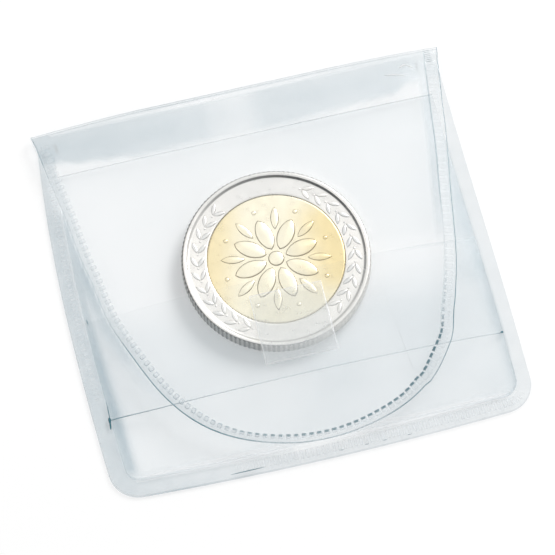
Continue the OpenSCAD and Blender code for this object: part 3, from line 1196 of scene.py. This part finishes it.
def makePouchSeam():
    look = seamLook
    build = tonedMesh()
    total = pouchLengths[-1]
    count = int(total / pouchShape["step"])
    profile, gleams = [], []
    for k in range(count + 1):
        s = total * k / count
        point, tangent, normal = alongPath(pouchLine, pouchLengths, s)
        ring = []
        for d, z, shade, milkAndPaintedLight in seamSteps(s):
            x, y = point[0] + normal[0] * d, point[1] + normal[1] * d
            share = fade(look["underFlap"], besideFlap(x, y))
            ring.append(tonedVert(build, (x, y, z), shade * share, milkAndPaintedLight))
        profile.append(ring)
        gleams.append(valueAt(look["bottomGleam"], s))
    # faces under the painted highlight along the bottom weld's inner edge take the pads' pale top film
    for a, b, gleam in zip(profile, profile[1:], gleams):
        flat = len(a) - 3  # the first of the inner wall, the underside and the outer lip
        for k, face in enumerate(bridge(build, a, b)):
            face.smooth = k < flat
            face.material_index = 1 if gleam > look["leastHighlight"] and flat - 3 <= k < flat else 0
    for end in (profile[0], profile[-1]):
        build.faces.new(end)
    for k in range(int(total / look["padPitch"])):
        s = (k + 0.5) * look["padPitch"]
        width = seamWidth(s)
        wall, milkAndPaintedLight = valueAt(look["padWall"], s), valueAt(look["padTop"], s)
        if milkAndPaintedLight < look["leastHighlight"]:
            continue
        across = (width * valueAt(look["padLow"], s), width * valueAt(look["padHigh"], s))
        addPad(build, alongPath(pouchLine, pouchLengths, s), across, look["padLong"], look["padBevels"],
               look["padHeight"], lambda x, y: look["height"], (wall, wall, milkAndPaintedLight), (2, 1))
    piece = newObject("pouchSeam", finishMesh(build, "pouchSeam"), weld, rib, ribWall)
    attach(piece, "pouch")
    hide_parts("left_weld", "right_weld", "bottom_weld")


# tones are by length in mm along the flap's edge: wall and end are painted shade on the pads' sides and inner
# ends, top is a painted highlight
rimPads = {
    "pitch": 1.07,
    "long": ((0, 0.64), (58, 0.66), (64, 0.8), (78, 0.9), (90, 0.9), (130, 0.7)),
    "height": ((0, 0.15), (90, 0.15), (104, 0.05)),
    "low": ((0, 0.6), (44, 0.7), (54, 0.52)),
    "clear": ((0, -0.3), (44, -0.3), (54, 0.12)),
    "bevel": 0.08,
    "endBevel": ((0, 0.22), (50, 0.22), (58, 0.36), (84, 0.36), (96, 0.24), (130, 0.22)),
    "wall": ((0, 0.12), (30, 0.2), (36, 0.4), (44, 0.4), (52, 0.25), (60, 0.12), (80, 0.1), (90, 0.05),
             (130, 0.05)),
    "end": ((0, 0.1), (33, 0.25), (45, 0.5), (52, 0.9), (60, 1), (78, 1), (88, 1), (92, 0.4), (100, 0.05),
            (130, 0)),
    "top": ((0, 0.25), (40, 0.32), (60, 0.25), (80, 0.12), (100, 0.03), (130, 0.03)),
}


def makeFlapRim():
    look = rimPads
    build = tonedMesh()
    for k in range(int(flapLengths[-1] / look["pitch"])):
        s = (k + 0.5) * look["pitch"]
        across = (valueAt(look["low"], s), valueAt(rimLook["width"], s) - valueAt(look["clear"], s))
        tones = (valueAt(look["wall"], s), valueAt(look["end"], s), valueAt(look["top"], s))
        bevels = (look["bevel"], valueAt(look["endBevel"], s))
        addPad(build, alongPath(flapLine, flapLengths, s), across, valueAt(look["long"], s), bevels,
               valueAt(look["height"], s), flapTop, tones, (1, 0))
    piece = newObject("flapRim", finishMesh(build, "flapRim"), rib, ribWall)
    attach(piece, "flap")
    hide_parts("flap_rim_weld")


makePouchSeam()
makeFlapRim()
print("welds made")


# Painted highlight streaks along creases in the flap, and dark nicks and ticks on the welds and the fold, each a
# thin raised line: its points, its width and how strong it is

creases = {
    # painted highlights along small creases near the fold's right end
    "flap": (
        (((23.1, 24.7), (23.7, 25.0), (24.3, 25.15)), 0.24, 1.0),
        (((24.2, 25.0), (25.1, 24.5)), 0.2, 1.0),
        (((20.8, 23.9), (22.3, 23.8), (23.8, 23.4)), 0.2, 1.0),
    ),
    "pouch": (
        (((-26.85, -0.5), (-26.74, -1.4)), 0.14, 0.8),
        (((-26.82, -12.7), (-26.86, -14.7), (-26.95, -15.4)), 0.12, 0.9),
        (((-26.92, -14.9), (-26.95, -15.3), (-26.99, -15.8)), 0.36, 1.0),
        (((-26.92, -15.3), (-26.97, -15.8), (-27.08, -16.7)), 0.24, 1.0),
        (((-13.0, -26.6), (-8.3, -26.6)), 0.14, 0.7),
        (((1.9, -26.7), (2.5, -26.7)), 0.1, 0.5),
        (((5.3, -26.7), (5.9, -26.7)), 0.1, 0.5),
        (((7.8, -26.7), (8.4, -26.7)), 0.1, 0.5),
        (((11.2, -26.7), (11.8, -26.7)), 0.1, 0.5),
        (((27.0, -15.5), (27.4, -15.5)), 0.28, 1.0),
    ),
}
creaseForm = {"steps": 8, "taper": 0.08, "foot": 0.004, "height": 0.03}
tickShape = {"count": 7, "pitch": 0.28, "top": 26.75, "ends": (26.95, 28.0), "rise": 0.08, "width": 0.08,
             "strength": 0.45}


def foldTop(x, y):  # height of the flap and of the roll of the fold above its root
    height = flapTop(x, min(y, rootY))
    radius = min(height / 2, foldDepth(x))
    run = y - rootY - (foldDepth(x) - radius)
    if run <= 0:
        return height
    return height / 2 + height / 2 * math.sqrt(max(0.0, 1 - min(1.0, run / radius) ** 2))


def addCrease(build, points, width, strength, surface, pale):
    count, taper, foot = creaseForm["steps"], creaseForm["taper"], creaseForm["foot"]
    shade, milkAndPaintedLight = (0.0, strength) if pale else (strength, 0.0)
    lengths = pathLengths(points)
    rings = []
    for k in range(count + 1):
        (x, y), tangent, normal = alongPath(points, lengths, lengths[-1] * k / count)
        half = width / 2 * math.sin(math.pi * (k + taper) / (count + 2 * taper)) ** 0.5
        ring = []
        for side, height in ((-1, foot), (0, creaseForm["height"]), (1, foot)):
            px, py = x + normal[0] * half * side, y + normal[1] * half * side
            ring.append(tonedVert(build, (px, py, surface(px, py) + height), shade, milkAndPaintedLight))
        rings.append(ring)
    for a, b in zip(rings, rings[1:]):
        for k, face in enumerate(bridge(build, a, b)):
            face.smooth = k < 2
    build.faces.new(rings[0])
    build.faces.new(rings[-1])


def makeCreases(name, body, lines, surface, pale, material):
    build = tonedMesh()
    for points, width, strength in lines:
        addCrease(build, points, width, strength, surface, pale)
    piece = newObject(name, finishMesh(build, name), material)
    if body == "fold":
        bendWithFold(piece)
    else:
        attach(piece, body)


def tickLines():
    start, end = tickShape["ends"]
    ys = [tickShape["top"] - k * tickShape["pitch"] for k in range(tickShape["count"])]
    lines = [((start, y), (end, y + tickShape["rise"])) for y in ys]
    return [(line, tickShape["width"], tickShape["strength"]) for line in lines]


makeCreases("flapCreaseGlints", "flap", creases["flap"], flapTop, True, rib)
makeCreases("pouchNicks", "pouch", creases["pouch"], lambda x, y: seamLook["height"], False, cutEdge)
makeCreases("foldTicks", "fold", tickLines(), foldTop, False, cutEdge)
print("creases made")


# The coin

def metalMaterial(name, look):
    material, tree, out = newMaterial(name)
    worn = cloud(tree, look["cloudScale"], 3.0)
    tone = mixColour(tree, worn, opaque(look["dark"]), opaque(look["light"]))
    # painted tones: the second tone of the points gives a dimmer colour, painted shade on the ring's top and
    # deeper gold towards the core's edges; shade gives deep, for painted shade and dark joints
    tone = mixColour(tree, attribute(tree, "milkAndPaintedLight"), tone, opaque(look["dimTone"]))
    tone = mixColour(tree, attribute(tree, "shade"), tone, opaque(look["deep"]))
    body = addNode(tree, "ShaderNodeBsdfPrincipled", {
        "Base Color": tone, "Metallic": look["metallic"], **grained(tree, look),
    })
    tree.links.new(body.outputs[0], out.inputs["Surface"])
    return material


ringLook = {
    "light": (0.93, 0.895, 0.85),
    "dark": (0.89, 0.86, 0.82),
    "dimTone": (0.74, 0.735, 0.72),
    "deep": (0.07, 0.065, 0.06),
    "metallic": 1.0,
    "cloudScale": 260.0,
    "grainScale": 900.0,
    "roughness": (0.26, 0.36),
    "bump": 0.04,
    "bumpDepth": 0.02,
}
coreLook = dict(ringLook, light=(0.98, 0.93, 0.79), dark=(0.96, 0.90, 0.71), dimTone=(0.86, 0.70, 0.36),
                deep=(0.13, 0.08, 0.03))

ringMetal = metalMaterial("ringMetal", ringLook)
coreMetal = metalMaterial("coreMetal", coreLook)

# painted shade that changes round the coin, on the rim's inner line, the reeded edge and the top, has a direction
# in degrees, a least strength and a power
coinShape = {
    "reeds": 120,
    "reedDepth": 0.1,
    "reedShade": 0.45,
    "fieldDrop": 0.22,
    "rimWidth": 0.95,
    "joint": 0.03,
    "line": (45.0, 0.35, 0.7),
    "side": (195.0, 0.3, 0.6),
    "topShade": (85.0, 0.0, 2),
    "topShadeStrength": 0.6,
    "dashTone": 0.3,
    "coreSteps": 240,
    "coreRings": (9.0, 7.8, 6.6, 5.4, 4.2, 3.0, 1.8, 0.7),
}

coreGold = {
    "all": 0.1,
    "right": 0.8,
    "rightSpan": (1, 8),
    "rightHeight": (4, 9),
    "left": 0.6,
    "leftSpan": (4, 9),
    "leftLean": 0.3,
}

coinMiddle = (ringLow.z + ringHigh.z) / 2
coinHalf = (ringHigh.z - ringLow.z) / 2


def ringProfile():
    # from the joint to the edge: radius, height over the coin's middle, tone (a dark joint, then painted shade at
    # the rim's step and along the edge), and whether it is on the face (0), cut by the reeds (1) or on the edge
    # above them (2)
    top, edge = coinHalf, coinRadius
    field = top - coinShape["fieldDrop"]
    inner = coreRadius + coinShape["joint"]
    return [
        (inner, field - 0.08, 0.25, 0),
        (inner + 0.06, field, 0.06, 0),
        (inner + 0.3, field, 0.0, 0),
        (edge - 1.2, field, 0.0, 0),
        (edge - 1.0, field + 0.005, 0.15, 0),
        (edge - coinShape["rimWidth"], field + 0.02, 1.0, 0),
        (edge - 0.70, top - 0.05, 1.0, 0),
        (edge - 0.65, top - 0.01, 0.15, 0),
        (edge - 0.4, top, 0.0, 0),
        (edge - 0.28, top - 0.01, 0.05, 0),
        (edge - 0.22, top - 0.03, 1.0, 2),
        (edge - 0.03, top - 0.13, 1.0, 1),
        (edge, top - 0.2, 0.95, 1),
    ]


def towards(angle, direction, least, power):  # 1 in a direction, and less away from it
    return fade(least, max(0.0, math.cos(angle - math.radians(direction))) ** power)


def coinPoint(radius, angle, height):
    x, y = polar(radius, angle)
    return coinCentre.x + x, coinCentre.y + y, coinMiddle + height


def polar(radius, angle):
    return radius * math.cos(angle), radius * math.sin(angle)


def makeCoinRing():
    shape = coinShape
    build = tonedMesh()
    half = ringProfile()
    profile = half + [(r, -h, tone, cut) for r, h, tone, cut in reversed(half)]
    count = 2 * shape["reeds"]
    turns = []
    for k in range(count):
        a = 2 * math.pi * k / count
        # painted shade: the edge darker towards the left and in the reeds' grooves, the rim's step darker towards
        # the upper right, and the top dimmer
        side, line = towards(a, *shape["side"]), towards(a, *shape["line"])
        topShade = shape["topShadeStrength"] * towards(a, *shape["topShade"])
        loop = []
        for r, h, tone, cut in profile:
            notch = k % 2 if cut == 1 else 0
            level = side * (1 - shape["reedShade"] * notch) if cut else line
            place = coinPoint(r - shape["reedDepth"] * notch, a, h)
            loop.append(tonedVert(build, place, tone * level, topShade))
        turns.append(loop)
    cutFrom = len(half) - 2
    for a, b in zip(turns, turns[1:] + turns[:1]):
        for k, face in enumerate(bridge(build, a, b)):
            face.smooth = not cutFrom <= k < len(profile) - cutFrom - 1
    piece = newObject("coinRing", finishMesh(build, "coinRing"), ringMetal)
    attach(piece, "coin")
    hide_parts("coin_ring")


def coreGoldShade(x, y):  # painted shade: the gold is deeper and warmer towards the right and the left edge
    gold = coreGold
    right = smoothStep(*gold["rightSpan"], x) * (1 - smoothStep(*gold["rightHeight"], abs(y)))
    left = smoothStep(*gold["leftSpan"], -x + gold["leftLean"] * y)
    return gold["all"] + gold["right"] * right + gold["left"] * left


def makeCoinCore():
    build = tonedMesh()
    field = coinHalf - coinShape["fieldDrop"]
    half = [(r, field, 0.0) for r in reversed(coinShape["coreRings"])]
    half += [(coreRadius - 0.22, field, 0.0), (coreRadius - 0.12, field - 0.01, 0.3),
             (coreRadius, field - 0.08, 0.5)]
    count = coinShape["coreSteps"]
    edges = []
    for sign in (1, -1):
        turns = []
        for k in range(count):
            a = 2 * math.pi * k / count
            dash = 1.0 if k % 2 else coinShape["dashTone"]
            turns.append([tonedVert(build, coinPoint(r, a, sign * h), tone * dash, coreGoldShade(*polar(r, a)))
                          for r, h, tone in half])
        edges.append([loop[-1] for loop in turns])
        for a, b in zip(turns, turns[1:] + turns[:1]):
            for face in bridge(build, a, b, closed=False):
                face.smooth = True
        build.faces.new([loop[0] for loop in turns]).smooth = True
    bridge(build, *edges)
    piece = newObject("coinCore", finishMesh(build, "coinCore"), coreMetal)
    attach(piece, "coin")
    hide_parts("coin_core")


# an outline on the core is its distance from the middle, length, width, points and power; a form is the
# height of the carving, the width of its slope and the painted shade at its foot
relief = {
    "steps": ((0.0, -0.03, 1), (0.7, 0.45, 1), (1.2, 0.8, 0.15), (2.2, 1.0, 0)),
    "peak": 1.1,
    "leastReach": 0.15,
    "petals": 8,
    "petalTurn": 0.25,
    "broadPetal": (3.75, 4.7, 2.3, 14, 0.62),
    "narrowPetal": (5.9, 3.3, 1.15, 12, 0.75),
    "dot": (7.3, 0.32, 12),
    "hub": (1.1, 24),
    "leavesPerSide": 11,
    "sideSpan": 118.0,
    "leaf": (1.75, 0.62, 9, 0.8),
    "leafTilt": 0.55,
    "leafShift": 0.5,
    "bud": (0.15, 8),
    "forms": {
        "broad": (0.13, 0.13, 0.8),
        "narrow": (0.13 * 0.8, 0.13 * 0.8, 0.8),
        "dot": (0.13 * 0.7, 0.13 * 0.7, 0.4),
        "leaf": (0.13 * 0.7, 0.13 * 0.6, 0.45),
        "bud": (0.13 * 0.6, 0.04, 0.4),
    },
}


def raised(build, outline, base, sign, form):  # a smooth dome over an outline, with painted shade at its foot
    height, bevel, foot = relief["forms"][form]
    cx = sum(p[0] for p in outline) / len(outline)
    cy = sum(p[1] for p in outline) / len(outline)

    def dome(x, y, lift, tone):
        place = (coinCentre.x + x, coinCentre.y + y, base + sign * height * lift)
        return tonedVert(build, place, tone, coreGoldShade(x, y))

    loops = []
    for inset, lift, share in relief["steps"]:
        loop = []
        for x, y in outline:
            reach = max(1e-6, math.dist((x, y), (cx, cy)))
            k = max(relief["leastReach"], 1 - inset * bevel / reach)
            loop.append(dome(cx + (x - cx) * k, cy + (y - cy) * k, lift, foot * share))
        loops.append(loop)
    peak = dome(cx, cy, relief["peak"], 0.0)
    build.faces.new(loops[0])
    for a, b in zip(loops, loops[1:]):
        for face in bridge(build, a, b):
            face.smooth = True
    last = loops[-1]
    for a, b in zip(last, last[1:] + last[:1]):
        build.faces.new((a, b, peak)).smooth = True


def leafOutline(centre, angle, length, width, points, power):
    side = []
    for k in range(points + 1):
        t = k / points
        side.append((length * (t - 0.5), width / 2 * math.sin(math.pi * t) ** power))
    both = side + [(u, -v) for u, v in reversed(side[1:-1])]
    c, s = math.cos(angle), math.sin(angle)
    return [(centre[0] + u * c - v * s, centre[1] + u * s + v * c) for u, v in both]


def roundOutline(centre, radius, points):
    turns = [2 * math.pi * k / points for k in range(points)]
    return [(centre[0] + radius * math.cos(a), centre[1] + radius * math.sin(a)) for a in turns]


def coreMotif(build, base, sign):  # a rosette of broad and narrow petals, with dots
    petals = relief["petals"]
    for k in range(petals):
        a = 2 * math.pi * (k + relief["petalTurn"]) / petals
        for form, turn in (("broad", a), ("narrow", a + math.pi / petals)):
            away, *size = relief[form + "Petal"]
            raised(build, leafOutline(polar(away, turn), turn, *size), base, sign, form)
        away, *size = relief["dot"]
        raised(build, roundOutline(polar(away, a), *size), base, sign, "dot")
    raised(build, roundOutline((0, 0), *relief["hub"]), base, sign, "broad")


def ringMotif(build, base, sign):  # a sprig of leaves on each side of the ring
    middle = (coreRadius + coinRadius - coinShape["rimWidth"]) / 2
    count, span = relief["leavesPerSide"], relief["sideSpan"]
    for side in (0, 180):
        for k in range(count):
            a = math.radians(side + span * ((k + 0.5) / count - 0.5))
            for way in (1, -1):
                centre = polar(middle + way * relief["leafShift"], a)
                turn = a + math.pi / 2 + way * relief["leafTilt"]
                raised(build, leafOutline(centre, turn, *relief["leaf"]), base, sign, "leaf")
            bud = polar(middle, a + math.radians(span) / count / 2)
            raised(build, roundOutline(bud, *relief["bud"]), base, sign, "bud")


def makeRelief(name, motif, metal):
    build = tonedMesh()
    drop = coinShape["fieldDrop"]
    motif(build, ringHigh.z - drop, 1)
    motif(build, ringLow.z + drop, -1)
    piece = newObject(name, finishMesh(build, name), metal)
    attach(piece, "coin")


makeCoinRing()
makeCoinCore()
makeRelief("coreRelief", coreMotif, coreMetal)
makeRelief("ringRelief", ringMotif, ringMetal)
print("coin made")
